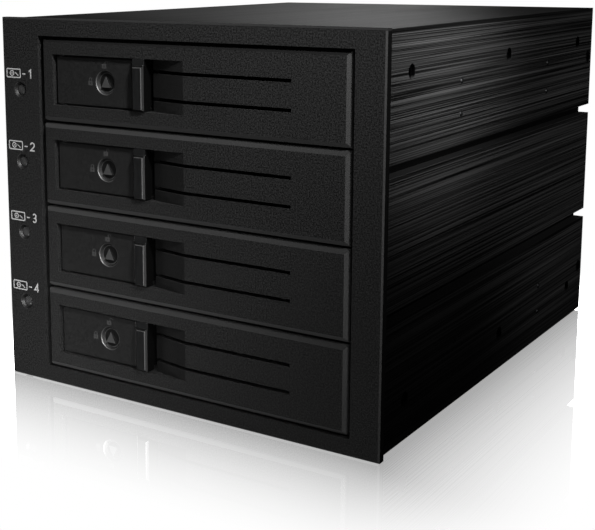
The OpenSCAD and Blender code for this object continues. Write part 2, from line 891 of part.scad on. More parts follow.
// Leaf spring clipped to the lever beside the lock seat
module tray_latch_spring(i) {
    leaf = 0.3;
    spring_z = [5.1, 6.9];
    color("#c4c7ca")
        translate([0, 0, tray_z(i)])
            difference() {
                block([-30.5, -23.9], [lever_rear, tongue_y[1]], spring_z);
                block([-30.5 - 1, -23.9 - leaf], [lever_rear + leaf, tongue_y[1] + 1],
                      [spring_z[0] - 1, spring_z[1] + 1]);
            }
}

// Round core with a raised pointer in front and a cam behind
module tray_lock_core(i) {
    core_y = [lever_face + 1, 9.4];
    pointer_h = 0.8;
    color("#2b2c2e")
        translate([lock_x, 0, tray_z(i)])
            union() {
                rod_y(0, core_y, 0, lock_r);
                translate([0, core_y[0] + eps, 0])
                    rotate([90, 0, 0])
                        linear_extrude(pointer_h)
                            polygon([[-1.9, -1.6], [1.9, -1.6], [0, 2.1]]);
                block([-1.6, 1.6], [7.6, core_y[1]], [-6.2, 0]);
            }
}

front_bezel();
light_guides();
indicator_board();
indicators();
indicator_screws();
indicator_cable();
case_shell();
bottom_plate();
bottom_screws();
side_threads();
guide_rail_left();
guide_rail_right();
rail_rivets();
bezel_screws();
backplane_board();
drive_connectors();
data_ports();
power_ports();
fan_header();
backplane_screws();
rear_panel();
rear_panel_screws();
fan_frame();
fan_rotor();
fan_guard();
fan_screws();
fan_cable();

for (i = TRAYS) {
    tray_front(i);
    tray_base(i);
    tray_screws(i);
    tray_lever(i);
    tray_lever_pin(i);
    tray_latch(i);
    tray_latch_spring(i);
    tray_lock_core(i);
}
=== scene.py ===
"""Looks of the drive cage: materials, small details, floor, lights and camera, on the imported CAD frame."""

import json
import math

import bmesh
import bpy
from mathutils import Matrix, Vector

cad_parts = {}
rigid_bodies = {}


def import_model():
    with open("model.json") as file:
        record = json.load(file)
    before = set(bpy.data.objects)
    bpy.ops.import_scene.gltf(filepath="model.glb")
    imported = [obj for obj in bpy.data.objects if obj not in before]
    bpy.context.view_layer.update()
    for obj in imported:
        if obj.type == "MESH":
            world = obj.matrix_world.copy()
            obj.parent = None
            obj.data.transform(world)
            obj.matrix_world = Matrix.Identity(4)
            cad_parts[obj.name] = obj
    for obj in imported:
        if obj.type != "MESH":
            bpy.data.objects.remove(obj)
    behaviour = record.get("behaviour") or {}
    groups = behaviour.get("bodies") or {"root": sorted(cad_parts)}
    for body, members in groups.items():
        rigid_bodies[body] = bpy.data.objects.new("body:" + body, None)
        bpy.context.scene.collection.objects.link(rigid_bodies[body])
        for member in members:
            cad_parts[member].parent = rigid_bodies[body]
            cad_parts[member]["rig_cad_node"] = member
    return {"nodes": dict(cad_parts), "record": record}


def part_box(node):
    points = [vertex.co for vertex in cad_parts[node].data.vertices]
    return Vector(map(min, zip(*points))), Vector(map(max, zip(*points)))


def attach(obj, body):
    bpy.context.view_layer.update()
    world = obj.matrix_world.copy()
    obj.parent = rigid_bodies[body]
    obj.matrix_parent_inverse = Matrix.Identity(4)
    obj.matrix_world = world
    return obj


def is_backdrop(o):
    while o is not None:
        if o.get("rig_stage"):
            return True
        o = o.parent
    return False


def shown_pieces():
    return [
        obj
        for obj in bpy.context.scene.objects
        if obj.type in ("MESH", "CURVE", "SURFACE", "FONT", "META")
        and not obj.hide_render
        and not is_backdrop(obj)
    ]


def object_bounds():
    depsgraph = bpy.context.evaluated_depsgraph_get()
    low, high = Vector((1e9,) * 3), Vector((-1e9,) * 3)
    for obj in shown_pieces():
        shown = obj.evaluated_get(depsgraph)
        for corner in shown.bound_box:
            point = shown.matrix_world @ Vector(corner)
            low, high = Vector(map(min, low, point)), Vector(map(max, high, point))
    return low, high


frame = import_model()
cad_low, cad_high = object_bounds()
nodes = frame["nodes"]
MM = 0.001
TRAYS = (1, 2, 3, 4)
CASE_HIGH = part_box("case_shell")[1]
BEZEL_FACE_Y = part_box("front_bezel")[0].y


def middle(node):
    low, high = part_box(node)
    return (low + high) / 2


LOCK_X = middle("tray_1_lever_pin").x + 19.4 * MM
LOCK_Z = middle("tray_1_front").z
TRAY_PITCH = middle("tray_1_front").z - middle("tray_2_front").z
LIGHTS_LOW, LIGHTS_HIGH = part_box("light_guides")
LIGHT_X = middle("light_guides").x
LIGHT_R = (LIGHTS_HIGH.x - LIGHTS_LOW.x) / 2
LIGHT_PITCH = (LIGHTS_HIGH.z - LIGHTS_LOW.z - 2 * LIGHT_R) / 3
LIGHT_TOP = LIGHTS_HIGH.z - LIGHT_R
LIGHT_RING_W = 0.95 * MM


# ---- node trees ----

class Shader:
    """A material and short calls that add and join its nodes"""

    def __init__(self, name):
        self.material = bpy.data.materials.new(name)
        self.material.use_nodes = True
        self.tree = self.material.node_tree
        self.tree.nodes.clear()
        self.place = self.add("TexCoord").outputs["Object"]

    def add(self, kind, settings=None, **inputs):
        node = self.tree.nodes.new("ShaderNode" + kind)
        for name, value in (settings or {}).items():
            setattr(node, name, value)
        for name, value in inputs.items():
            self.put(node, name.replace("_", " "), value)
        return node

    def put(self, node, name, value):
        socket = node.inputs[int(name) if name.isdigit() else name]
        if isinstance(value, bpy.types.NodeSocket):
            self.tree.links.new(value, socket)
        else:
            socket.default_value = value

    def math(self, operation, first, second=0.0, clamp=False):
        node = self.add("Math", {"operation": operation, "use_clamp": clamp})
        self.put(node, "0", first)
        self.put(node, "1", second)
        return node.outputs[0]

    def scaled(self, x, y, z):
        """Object coordinates times a factor along each axis"""
        node = self.add("Mapping", {"vector_type": "POINT"}, Vector=self.place)
        node.inputs["Scale"].default_value = (x, y, z)
        return node.outputs["Vector"]

    def noise(self, where, scale=1.0, detail=2.0, roughness=0.5):
        node = self.add("TexNoise", None, Vector=where, Scale=scale, Detail=detail, Roughness=roughness)
        return node.outputs["Fac"]

    def remap(self, value, low, high, out_low, out_high):
        node = self.add("MapRange", {"clamp": True}, Value=value)
        limits = (("From Min", low), ("From Max", high), ("To Min", out_low), ("To Max", out_high))
        for name, number in limits:
            self.put(node, name, number)
        return node.outputs["Result"]

    def blend(self, factor, first, second):
        node = self.add("Mix", {"data_type": "RGBA"})
        self.put(node, "0", factor)
        self.put(node, "6", first)
        self.put(node, "7", second)
        return node.outputs[2]

    def mix_shaders(self, factor, first, second):
        node = self.add("MixShader")
        self.put(node, "0", factor)
        self.put(node, "1", first)
        self.put(node, "2", second)
        return node.outputs[0]

    def bump(self, height, distance):
        return self.add("Bump", None, Height=height, Distance=distance, Strength=1.0).outputs["Normal"]

    def split(self):
        return self.add("SeparateXYZ", None, Vector=self.place).outputs

    def facing(self):
        """The X, Y and Z of the face's own direction, without smoothing or bump"""
        return self.add("SeparateXYZ", None, Vector=self.add("NewGeometry").outputs["True Normal"]).outputs

    def radius_in_row(self, middle_x, first_z, pitch):
        """Distance from the nearest of a column of axes that run along Y"""
        x, _, z = self.split()
        across = self.math("SUBTRACT", x, middle_x)
        wrap = self.add("Math", {"operation": "WRAP"})
        self.put(wrap, "0", self.math("SUBTRACT", z, first_z))
        self.put(wrap, "1", pitch / 2)
        self.put(wrap, "2", -pitch / 2)
        up = wrap.outputs[0]
        squares = self.math("ADD", self.math("MULTIPLY", across, across), self.math("MULTIPLY", up, up))
        return self.math("SQRT", squares)

    def band(self, value, low, high, soft):
        """1 between two values and 0 outside them"""
        rise = self.remap(value, low - soft, low, 0.0, 1.0)
        fall = self.remap(value, high, high + soft, 1.0, 0.0)
        return self.math("MULTIPLY", rise, fall)

    def surface(self, color, roughness, normal=None, metallic=0.0, specular=0.5, **extra):
        node = self.add("BsdfPrincipled", None, Roughness=roughness, Metallic=metallic)
        self.put(node, "Base Color", color)
        self.put(node, "Specular IOR Level", specular)
        if normal is not None:
            self.put(node, "Normal", normal)
        for name, value in extra.items():
            self.put(node, name.replace("_", " "), value)
        return self.finish(node.outputs[0])

    def finish(self, shader):
        output = self.add("OutputMaterial")
        self.tree.links.new(shader, output.inputs["Surface"])
        return self.material


def grey(level, tint=0.0):
    return (level * (1 - tint), level, level * (1 + tint), 1.0)


# ---- materials ----

def grained_moulding(name, level, grain=0.35, depth=0.02, roughness=0.5, speckle=0.3, trim=False):
    """Moulded plastic with a spark-eroded grain, finer mottling and slight waviness"""
    s = Shader(name)
    coarse = s.noise(s.place, 1 / (grain * MM), 1.0, 0.6)
    fine = s.noise(s.place, 2 / (grain * MM), 1.0, 0.5)
    broad = s.noise(s.place, 22.0, 2.0, 0.5)
    height = s.math("ADD", coarse, s.math("MULTIPLY", fine, 0.5))
    mottle = s.remap(coarse, 0.36, 0.64, 0.0, 1.0)
    color = s.blend(mottle, grey(level * (1 - speckle)), grey(level * (1 + speckle)))
    rough = s.math("ADD", s.remap(fine, 0.3, 0.7, roughness - 0.06, roughness + 0.06),
                   s.remap(broad, 0.3, 0.7, -0.03, 0.03))
    specular = 0.5
    if trim:
        color, rough, specular = front_trim(s, color, rough)
    return s.surface(color, rough, s.bump(height, depth * MM), specular=specular)


def front_trim(s, color, rough):
    """Painted highlights on the bevels, and painted shade on the scoops, in the rings round the indicators
    and on the matt sides and top edge of the front's mouldings
    """
    across, toward, up = s.facing()
    x, y, z = s.split()
    front_face = s.math("LESS_THAN", toward, -0.85)

    # painted highlight: the bevels are coloured lighter than the faces, and those facing the floor far
    # lighter, for the light thrown up from it
    bevel = s.math("MULTIPLY", s.band(toward, -0.85, -0.4, 0.05), 0.9)
    facing_floor = s.remap(up, -0.6, -0.4, 1.0, 0.0)
    color = s.blend(bevel, color, s.blend(facing_floor, grey(0.026), grey(0.12)))

    # painted shade: the sloping floor of each scoop is coloured near black, as it looks when turned away from
    # the light
    scoop_shade = s.math("MULTIPLY", s.band(across, -0.5, -0.15, 0.04), front_face)
    color = s.blend(s.math("MULTIPLY", scoop_shade, 0.8), color, grey(0.002))

    # painted shade: the sunk ring round each indicator is coloured dark
    from_light = s.radius_in_row(LIGHT_X, LIGHT_TOP, LIGHT_PITCH)
    ring = s.band(from_light, LIGHT_R, LIGHT_R + LIGHT_RING_W, 0.03 * MM)
    sunk = s.remap(y, BEZEL_FACE_Y + 0.05 * MM, BEZEL_FACE_Y + 0.1 * MM, 0.0, 1.0)
    color = s.blend(s.math("MULTIPLY", ring, sunk), color, grey(0.007))

    # the first tray's top bevel lies in the shade of the opening's edge
    tray_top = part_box("tray_1_front")[1].z
    near_top = s.band(z, tray_top - 2.3 * MM, tray_top + 0.7 * MM, 0.1 * MM)
    shade = s.math("MULTIPLY", near_top, s.remap(up, 0.4, 0.6, 0.0, 1.0))
    color = s.blend(s.math("MULTIPLY", shade, 0.8), color, grey(0.004))

    # painted shade: the bezel's outer sides and its top edge are coloured dark and made matt
    sideways = s.remap(s.math("ABSOLUTE", across), 0.85, 0.97, 0.0, 1.0)
    outermost = s.math("GREATER_THAN", s.math("ABSOLUTE", x), cad_high.x - 0.3 * MM)
    top_edge = s.remap(z, cad_high.z - 0.8 * MM, cad_high.z - 0.6 * MM, 0.0, 1.0)
    matt = s.math("MAXIMUM", s.math("MULTIPLY", sideways, outermost), top_edge)
    color = s.blend(matt, color, s.blend(top_edge, grey(0.004), grey(0.018)))
    rough = s.math("MAXIMUM", rough, s.math("MULTIPLY", top_edge, 0.9))
    return color, rough, s.remap(s.math("MAXIMUM", matt, shade), 0.0, 1.0, 0.5, 0.08)


def brushed_case(name):
    """Black anodised aluminium, brushed from front to rear: strongly on the sides, faintly on the top"""
    s = Shader(name)
    hair = s.noise(s.scaled(3600.0, 8.0, 3600.0), 1.0, 2.0, 0.6)
    lines = s.noise(s.scaled(2400.0, 3.5, 2400.0), 1.0, 2.0, 0.7)
    bands = s.noise(s.scaled(170.0, 1.5, 170.0), 1.0, 3.0, 0.6)
    top = s.remap(s.facing()["Z"], 0.5, 0.8, 0.0, 1.0)
    fine = s.math("ADD", s.remap(lines, 0.46, 0.59, 0.0, 0.65), s.remap(hair, 0.46, 0.6, 0.0, 0.35))
    streak = s.math("MULTIPLY", fine, s.remap(bands, 0.36, 0.62, 0.7, 1.0))
    x, _, z = s.split()
    sunk = s.math("MULTIPLY", s.math("LESS_THAN", s.math("ABSOLUTE", x), CASE_HIGH.x - 0.15 * MM),
                  s.math("LESS_THAN", z, CASE_HIGH.z - 0.3 * MM))
    edge = s.remap(z, CASE_HIGH.z - 1.6 * MM, CASE_HIGH.z - 1.0 * MM, 0.0, 0.85)
    # the streaks are the brushing; their light tone also stands in for the metal's sheen, painted into the
    # colour
    side_color = s.blend(streak, grey(0.003), grey(0.195))
    # painted shade: faces inside the holes and grooves, away from the outer sides and top, are coloured near
    # black; the sides are also coloured darker along their top edge
    side_color = s.blend(s.math("MAXIMUM", sunk, edge), side_color, grey(0.003))
    # painted sheen: the top is coloured far lighter than the black metal, with its faint brushing in it
    top_tone_and_sheen = s.blend(s.remap(lines, 0.3, 0.7, 0.0, 1.0), grey(0.10), grey(0.125))
    rough = s.remap(streak, 0.0, 1.0, 0.36, 0.5)
    height = s.math("ADD", lines, s.math("MULTIPLY", hair, 0.5))
    color = s.blend(top, side_color, top_tone_and_sheen)
    return s.surface(color, rough, s.bump(height, 0.012 * MM), specular=0.25)


def painted_sheet(name, level, roughness=0.5):
    """Powder coat: an orange-peel surface with a little sparkle"""
    s = Shader(name)
    peel = s.noise(s.place, 900.0, 2.0, 0.5)
    broad = s.noise(s.place, 30.0, 3.0, 0.5)
    color = s.blend(s.remap(broad, 0.3, 0.7, 0.0, 1.0), grey(level * 0.85), grey(level * 1.15))
    rough = s.remap(peel, 0.3, 0.7, roughness - 0.07, roughness + 0.07)
    return s.surface(color, rough, s.bump(peel, 0.04 * MM))


def plated_metal(name, level, roughness=0.3, tint=0.02):
    """Plated or plain metal with fine turning marks and small stains"""
    s = Shader(name)
    marks = s.noise(s.place, 2500.0, 3.0, 0.6)
    stains = s.noise(s.place, 260.0, 3.0, 0.6)
    color = s.blend(s.remap(stains, 0.3, 0.7, 0.0, 1.0), grey(level * 0.8, tint), grey(level, tint))
    rough = s.remap(marks, 0.3, 0.7, roughness - 0.08, roughness + 0.1)
    return s.surface(color, rough, s.bump(marks, 0.01 * MM), metallic=1.0)


def lever_moulding(name):
    """Smoother black moulding; the dull countersink round the lock is coloured dark as painted shade, and its
    rim carries a painted highlight
    """
    s = Shader(name)
    radius = s.radius_in_row(LOCK_X, LOCK_Z, TRAY_PITCH)
    rim = s.band(radius, 3.95 * MM, 4.12 * MM, 0.06 * MM)
    sink = s.band(radius, 0.0, 3.9 * MM, 0.05 * MM)
    fine = s.noise(s.place, 1400.0, 2.0, 0.6)
    plain = s.blend(s.remap(fine, 0.35, 0.7, 0.0, 1.0), grey(0.008), grey(0.013))
    # painted highlight on the rim round the lock, and painted shade in the countersink inside it
    color = s.blend(rim, s.blend(sink, plain, grey(0.003)), grey(0.12))
    rough = s.math("ADD", s.remap(fine, 0.3, 0.7, 0.42, 0.52), s.math("MULTIPLY", sink, 0.25))
    return s.surface(color, rough, s.bump(fine, 0.012 * MM), metallic=s.math("MULTIPLY", rim, 0.8))


def lock_face(name):
    """Dark turned metal with a painted highlight on its raised pointer and outer rim"""
    s = Shader(name)
    front_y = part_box("tray_1_lock_core")[0].y
    marks = s.noise(s.place, 2500.0, 3.0, 0.6)
    pointer = s.math("LESS_THAN", s.split()["Y"], front_y + 0.1 * MM)
    rim = s.band(s.radius_in_row(LOCK_X, LOCK_Z, TRAY_PITCH), 3.05 * MM, 3.3 * MM, 0.05 * MM)
    # painted highlight: the raised pointer and the rim are coloured bright
    painted_glint = s.math("MAXIMUM", pointer, rim)
    color = s.blend(painted_glint, s.blend(marks, grey(0.012), grey(0.02)), grey(0.11))
    return s.surface(color, s.remap(marks, 0.3, 0.7, 0.35, 0.5), s.bump(marks, 0.01 * MM), metallic=0.6)


def satin_latch(name):
    """Satin metal with painted shade on its sides and bevels, and a painted highlight along the bevels' front
    """
    s = Shader(name)
    across, toward, _ = s.facing()
    fine = s.noise(s.scaled(900.0, 900.0, 260.0), 1.0, 3.0, 0.6)
    color = s.blend(s.remap(fine, 0.3, 0.7, 0.0, 1.0), grey(0.011, 0.02), grey(0.018, 0.02))
    # painted shade on the bevels, and a painted highlight on their front-most strip
    bevel = s.band(toward, -0.85, -0.4, 0.05)
    painted_glint = s.math("LESS_THAN", s.split()["Y"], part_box("tray_1_latch")[0].y + 0.22 * MM)
    color = s.blend(bevel, color, s.blend(painted_glint, grey(0.006), grey(0.07)))
    # painted shade: the sides are coloured near black and made less shiny
    side = s.remap(s.math("ABSOLUTE", across), 0.8, 0.95, 0.0, 1.0)
    color = s.blend(side, color, grey(0.002))
    rough = s.remap(fine, 0.3, 0.7, 0.3, 0.42)
    metal = s.remap(side, 0.0, 1.0, 0.3, 0.0)
    specular = s.remap(side, 0.0, 1.0, 0.5, 0.08)
    return s.surface(color, rough, s.bump(fine, 0.01 * MM), metallic=metal, specular=specular)


def smoked_lens(name):
    """Smoked translucent plastic with a faint cloudiness"""
    s = Shader(name)
    cloud = s.noise(s.place, 700.0, 2.0, 0.5)
    color = s.blend(s.remap(cloud, 0.3, 0.7, 0.0, 1.0), grey(0.035), grey(0.05))
    return s.surface(color, s.remap(cloud, 0.3, 0.7, 0.16, 0.28), s.bump(cloud, 0.01 * MM), Coat_Weight=0.3)


def circuit_board(name):
    """Green solder mask over copper tracks, with a faint darker weave"""
    s = Shader(name)
    x, _, z = s.split()
    flat = s.add("CombineXYZ", None, X=z, Y=x).outputs[0]
    brick = s.add("TexBrick", {"offset": 0.35, "squash": 1.6}, Vector=flat, Scale=110.0)
    brick.inputs["Mortar Size"].default_value = 0.035
    tracks = brick.outputs["Fac"]
    weave = s.noise(s.place, 1200.0, 2.0, 0.5)
    mask = s.blend(tracks, (0.006, 0.045, 0.016, 1.0), (0.02, 0.13, 0.05, 1.0))
    color = s.blend(s.remap(weave, 0.3, 0.7, 0.0, 0.35), mask, (0.004, 0.03, 0.01, 1.0))
    height = s.math("ADD", s.math("MULTIPLY", tracks, 0.7), s.math("MULTIPLY", weave, 0.3))
    return s.surface(color, s.remap(weave, 0.3, 0.7, 0.25, 0.36), s.bump(height, 0.03 * MM))


def nylon(name):
    """Natural nylon, slightly uneven in tone and a little translucent"""
    s = Shader(name)
    cloud = s.noise(s.place, 160.0, 3.0, 0.5)
    fine = s.noise(s.place, 2200.0, 2.0, 0.5)
    color = s.blend(s.remap(cloud, 0.3, 0.7, 0.0, 1.0), (0.62, 0.60, 0.53, 1.0), (0.72, 0.70, 0.63, 1.0))
    rough = s.remap(fine, 0.3, 0.7, 0.38, 0.5)
    return s.surface(color, rough, s.bump(fine, 0.012 * MM), Subsurface_Weight=0.1, Subsurface_Scale=0.5 * MM)


def cable_sleeve(name):
    """Matt woven sleeve over the wires"""
    s = Shader(name)
    fine = s.noise(s.place, 1500.0, 3.0, 0.6)
    color = s.blend(s.remap(fine, 0.3, 0.7, 0.0, 1.0), grey(0.010), grey(0.022))
    return s.surface(color, s.remap(fine, 0.3, 0.7, 0.5, 0.66), s.bump(fine, 0.02 * MM), Sheen_Weight=0.1)


MATERIALS = {
    "moulding": grained_moulding("moulding", 0.0145, 0.5, 0.06, 0.45, speckle=0.8, trim=True),
    "lever_plastic": lever_moulding("lever_plastic"),
    "case_metal": brushed_case("case_metal"),
    "sheet_metal": painted_sheet("sheet_metal", 0.016),
    "tray_metal": painted_sheet("tray_metal", 0.08, 0.42),
    "latch_metal": satin_latch("latch_metal"),
    "lock_metal": lock_face("lock_metal"),
    "lens": smoked_lens("lens"),
    "indicator": nylon("indicator"),
    "board": circuit_board("board"),
    "socket": grained_moulding("socket", 0.012, grain=0.2, depth=0.01, roughness=0.42),
    "white_plastic": nylon("white_plastic"),
    "rail_plastic": grained_moulding("rail_plastic", 0.016, grain=0.3),
    "fan_plastic": grained_moulding("fan_plastic", 0.013, grain=0.25, depth=0.015, roughness=0.4),
    "cable": cable_sleeve("cable"),
    "zinc": plated_metal("zinc", 0.5, 0.28, 0.03),
    "rivet": plated_metal("rivet", 0.1, 0.45),
    "black_screw": plated_metal("black_screw", 0.03, 0.4),
    "wire": plated_metal("wire", 0.6, 0.16, 0.02),
}

for part in frame["record"]["subparts"]:
    mesh = nodes[part["node"]].data
    slot = "black_screw" if part["node"] == "side_threads" else part["material_slot"]
    mesh.materials.clear()
    mesh.materials.append(MATERIALS[slot])


# ---- edges ----

def soften(node, width):
    """Joins split edges of the CAD mesh, merges flat faces, rounds sharp edges and evens the shading"""
    part = nodes[node]
    weld = part.modifiers.new("weld", "WELD")
    weld.merge_threshold = 0.002 * MM
    flat = part.modifiers.new("flat", "DECIMATE")
    flat.decimate_type = "DISSOLVE"
    flat.angle_limit = math.radians(0.5)
    round_off = part.modifiers.new("round", "BEVEL")
    round_off.limit_method = "ANGLE"
    round_off.angle_limit = math.radians(35)
    round_off.width = width * MM
    round_off.segments = 2
    even = part.modifiers.new("even", "WEIGHTED_NORMAL")
    even.mode = "FACE_AREA"
    even.weight = 100
    even.keep_sharp = False


# Widths of the rounded edges in millimetres
EDGE_WIDTHS = {"front_bezel": 0.15, "case_shell": 0.2, "bottom_plate": 0.2, "rear_panel": 0.2}
for tray in TRAYS:
    EDGE_WIDTHS[f"tray_{tray}_front"] = 0.14
    EDGE_WIDTHS[f"tray_{tray}_lever"] = 0.12
    EDGE_WIDTHS[f"tray_{tray}_latch"] = 0.15
for node, width in EDGE_WIDTHS.items():
    soften(node, width)


# ---- printed marks ----

def arc(centre, radius, start, end, steps):
    """Points of an arc, its angles in degrees"""
    turns = [math.radians(start + (end - start) * i / steps) for i in range(steps + 1)]
    return [(centre[0] + radius * math.cos(t), centre[1] + radius * math.sin(t)) for t in turns]


def rounded(low, high, radius, steps=5):
    """Outline of a rectangle with rounded corners"""
    corners = ((high[0] - radius, high[1] - radius, 0), (low[0] + radius, high[1] - radius, 90),
               (low[0] + radius, low[1] + radius, 180), (high[0] - radius, low[1] + radius, 270))
    return [point for x, z, turn in corners for point in arc((x, z), radius, turn, turn + 90, steps)]


def stroke(points, width):
    """Outline of a line of even width through some points, with mitred bends"""
    left, right = [], []
    for i, point in enumerate(points):
        before, after = Vector(points[max(i - 1, 0)]), Vector(points[min(i + 1, len(points) - 1)])
        here = Vector(point)
        first = (here - before).normalized() if i else (after - here).normalized()
        second = (after - here).normalized() if i < len(points) - 1 else first
        along = (first + second).normalized()
        side = Vector((-along.y, along.x)) * (width / 2 / max(along.dot(first), 0.3))
        left.append(tuple(here + side))
        right.append(tuple(here - side))
    return left + right[::-1]


def circle(centre, radius, steps=24):
    return arc(centre, radius, 0, 360, steps)[:-1]


def printed(name, outlines, place, thickness, material, body):
    """A thin plate on a front face: closed outlines in millimetres round a place, with holes inside them"""
    curve = bpy.data.curves.new(name, "CURVE")
    curve.dimensions = "2D"
    curve.fill_mode = "BOTH"
    curve.extrude = thickness / 2 * MM
    for outline in outlines:
        spline = curve.splines.new("POLY")
        spline.points.add(len(outline) - 1)
        for point, (x, z) in zip(spline.points, outline):
            point.co = (x * MM, z * MM, 0.0, 1.0)
        spline.use_cyclic_u = True
    flat = bpy.data.objects.new(name + "_curve", curve)
    bpy.context.scene.collection.objects.link(flat)
    bpy.context.view_layer.update()
    mesh = bpy.data.meshes.new_from_object(flat)
    bpy.data.objects.remove(flat)
    mesh.name = name
    mesh.transform(Matrix.Translation(place) @ Matrix.Rotation(math.pi / 2, 4, "X"))
    mesh.materials.clear()
    mesh.materials.append(material)
    piece = bpy.data.objects.new(name, mesh)
    bpy.context.scene.collection.objects.link(piece)
    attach(piece, body)


def printed_ink(name, level):
    """Screen-printed ink with slight wear at its edge"""
    s = Shader(name)
    wear = s.noise(s.place, 1800.0, 3.0, 0.6)
    color = s.blend(s.remap(wear, 0.3, 0.7, 0.0, 1.0), grey(level * 0.75), grey(level))
    return s.surface(color, s.remap(wear, 0.3, 0.7, 0.5, 0.65), s.bump(wear, 0.01 * MM))


# Strokes of the digits 1 to 4 in a box 2 wide and 3 high
DIGITS = {
    1: [[(0.35, 2.35), (1.15, 2.95), (1.15, 0.0)]],
    2: [arc((1.0, 2.1), 0.85, 170, -35, 10) + [(0.15, 0.18), (1.95, 0.18)]],
    3: [arc((0.95, 2.22), 0.72, 150, -90, 9) + arc((0.95, 0.83), 0.78, 90, -150, 9)[1:]],
    4: [[(1.45, 0.0), (1.45, 2.8), (0.1, 0.85), (2.0, 0.85)]],
}
PALE_INK = printed_ink("pale_ink", 0.55)
DARK_INK = printed_ink("dark_ink", 0.045)
# Thickness of the ink in millimetres
PRINT_T = 0.04


def bay_label(tray):
    """A drive pictogram, a dash and the bay's number above its indicator"""
    light_z = LIGHT_TOP - (tray - 1) * LIGHT_PITCH
    place = Vector((LIGHT_X, BEZEL_FACE_Y, light_z + 5.6 * MM))
    case_outline = rounded((-6.3, -1.65), (0.4, 1.65), 0.5)
    case_inside = rounded((-5.9, -1.25), (0.0, 1.25), 0.25)
    platter = circle((-3.7, 0.0), 1.02)
    platter_inside = circle((-3.7, 0.0), 0.66)
    spindle = circle((-3.7, 0.0), 0.26, 12)
    arm = stroke([(-0.75, -0.75), (-2.2, 0.25)], 0.36)
    dash = stroke([(1.2, -0.1), (2.6, -0.1)], 0.42)
    digit = [[(x + 3.9, z - 1.6) for x, z in stroke(line, 0.5)] for line in DIGITS[tray]]
    outlines = [case_outline, case_inside, platter, platter_inside, spindle, arm, dash] + digit
    printed(f"bay_label_{tray}", outlines, place, PRINT_T, PALE_INK, "root")


def padlock(shackle_turned):
    """A padlock's outlines, its shackle closed or swung open"""
    body = rounded((-0.95, -1.2), (0.95, 0.3), 0.2, 3)
    keyhole = circle((0.0, -0.42), 0.24, 12)
    middle_x = 0.9 if shackle_turned else 0.0
    legs = [(middle_x - 0.55, 0.3)] + arc((middle_x, 0.75), 0.55, 180, 0, 10)
    if not shackle_turned:
        legs.append((middle_x + 0.55, 0.3))
    return [body, keyhole, stroke(legs, 0.3)]


def lock_marks(tray):
    """An open padlock above the lock and a closed one at its left"""
    lever_face_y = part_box(f"tray_{tray}_lever")[0].y
    lock = Vector((LOCK_X, lever_face_y, LOCK_Z - (tray - 1) * TRAY_PITCH))
    for state, dx, dz in (("open", -0.4, 5.9), ("closed", -6.4, 0.0)):
        name = f"tray_{tray}_mark_{state}"
        place = lock + Vector((dx, 0.0, dz)) * MM
        printed(name, padlock(state == "open"), place, PRINT_T, DARK_INK, f"lever_{tray}")


for tray in TRAYS:
    bay_label(tray)
    lock_marks(tray)


# ---- small parts on the backplane and fan ----

def new_piece(name, shape, material, body):
    """A piece from a bmesh in metres"""
    mesh = bpy.data.meshes.new(name)
    shape.to_mesh(mesh)
    shape.free()
    mesh.materials.append(material)
    piece = bpy.data.objects.new(name, mesh)
    bpy.context.scene.collection.objects.link(piece)
    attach(piece, body)


def add_block(shape, low, high):
    """A box between two corners in metres"""
    middle_point = (Vector(low) + Vector(high)) / 2
    size = Vector(high) - Vector(low)
    matrix = Matrix.Translation(middle_point) @ Matrix.Diagonal(size.to_4d())
    bmesh.ops.create_cube(shape, size=1.0, matrix=matrix)


def add_rod(shape, x, z, start_y, end_y, radius, tip_radius=None):
    """A cylinder along Y, or a cone where the tip has its own radius, in metres"""
    tip_radius = radius if tip_radius is None else tip_radius
    matrix = Matrix.Translation((x, (start_y + end_y) / 2, z)) @ Matrix.Rotation(-math.pi / 2, 4, "X")
    bmesh.ops.create_cone(shape, cap_ends=True, segments=32, radius1=radius, radius2=tip_radius,
                          depth=end_y - start_y, matrix=matrix)


def make_contacts():
    """Gilt contacts in the data ports and plated pins in the power ports"""
    contact_pitch = 1.27 * MM
    low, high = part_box("data_ports")
    shape = bmesh.new()
    for tray in TRAYS:
        row_z = middle(f"tray_{tray}_front").z - 0.6 * MM
        for k in range(-3, 4):
            z = row_z + k * contact_pitch
            add_block(shape, (high.x - 3.05 * MM, low.y + 1.8 * MM, z - 0.3 * MM),
                      (high.x - 2.75 * MM, high.y - 0.6 * MM, z + 0.3 * MM))
    new_piece("data_contacts", shape, plated_metal("gilt", 0.6, 0.22, -0.3), "root")

    pin_pitch = 5.08 * MM
    pin_r = 1.12 * MM
    tip_r = 0.6 * MM
    low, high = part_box("power_ports")
    pin_x = (low.x + high.x) / 2
    taper_y = high.y - 1.9 * MM
    shape = bmesh.new()
    for port_z in (low.z + 11.5 * MM, high.z - 11.5 * MM):
        for k in (-1.5, -0.5, 0.5, 1.5):
            z = port_z + k * pin_pitch
            add_rod(shape, pin_x, z, low.y + 1.7 * MM, taper_y, pin_r)
            add_rod(shape, pin_x, z, taper_y, high.y - 1.2 * MM, pin_r, tip_r)
    new_piece("power_pins", shape, MATERIALS["zinc"], "root")


def make_capacitors(board_y):
    """Capacitor cans on black bases"""
    can_x = -41 * MM
    can_r = 2.9 * MM
    base_top = board_y + 0.8 * MM
    shoulder = board_y + 5.6 * MM
    bases, cans = bmesh.new(), bmesh.new()
    for z in (26 * MM, 56 * MM, 73 * MM, 105 * MM):
        add_rod(bases, can_x, z, board_y, base_top, can_r + 0.25 * MM)
        add_rod(cans, can_x, z, base_top, shoulder, can_r)
        add_rod(cans, can_x, z, shoulder, shoulder + 0.3 * MM, can_r, can_r - 0.3 * MM)
    new_piece("capacitor_bases", bases, MATERIALS["socket"], "root")
    new_piece("capacitor_cans", cans, plated_metal("can", 0.7, 0.3), "root")


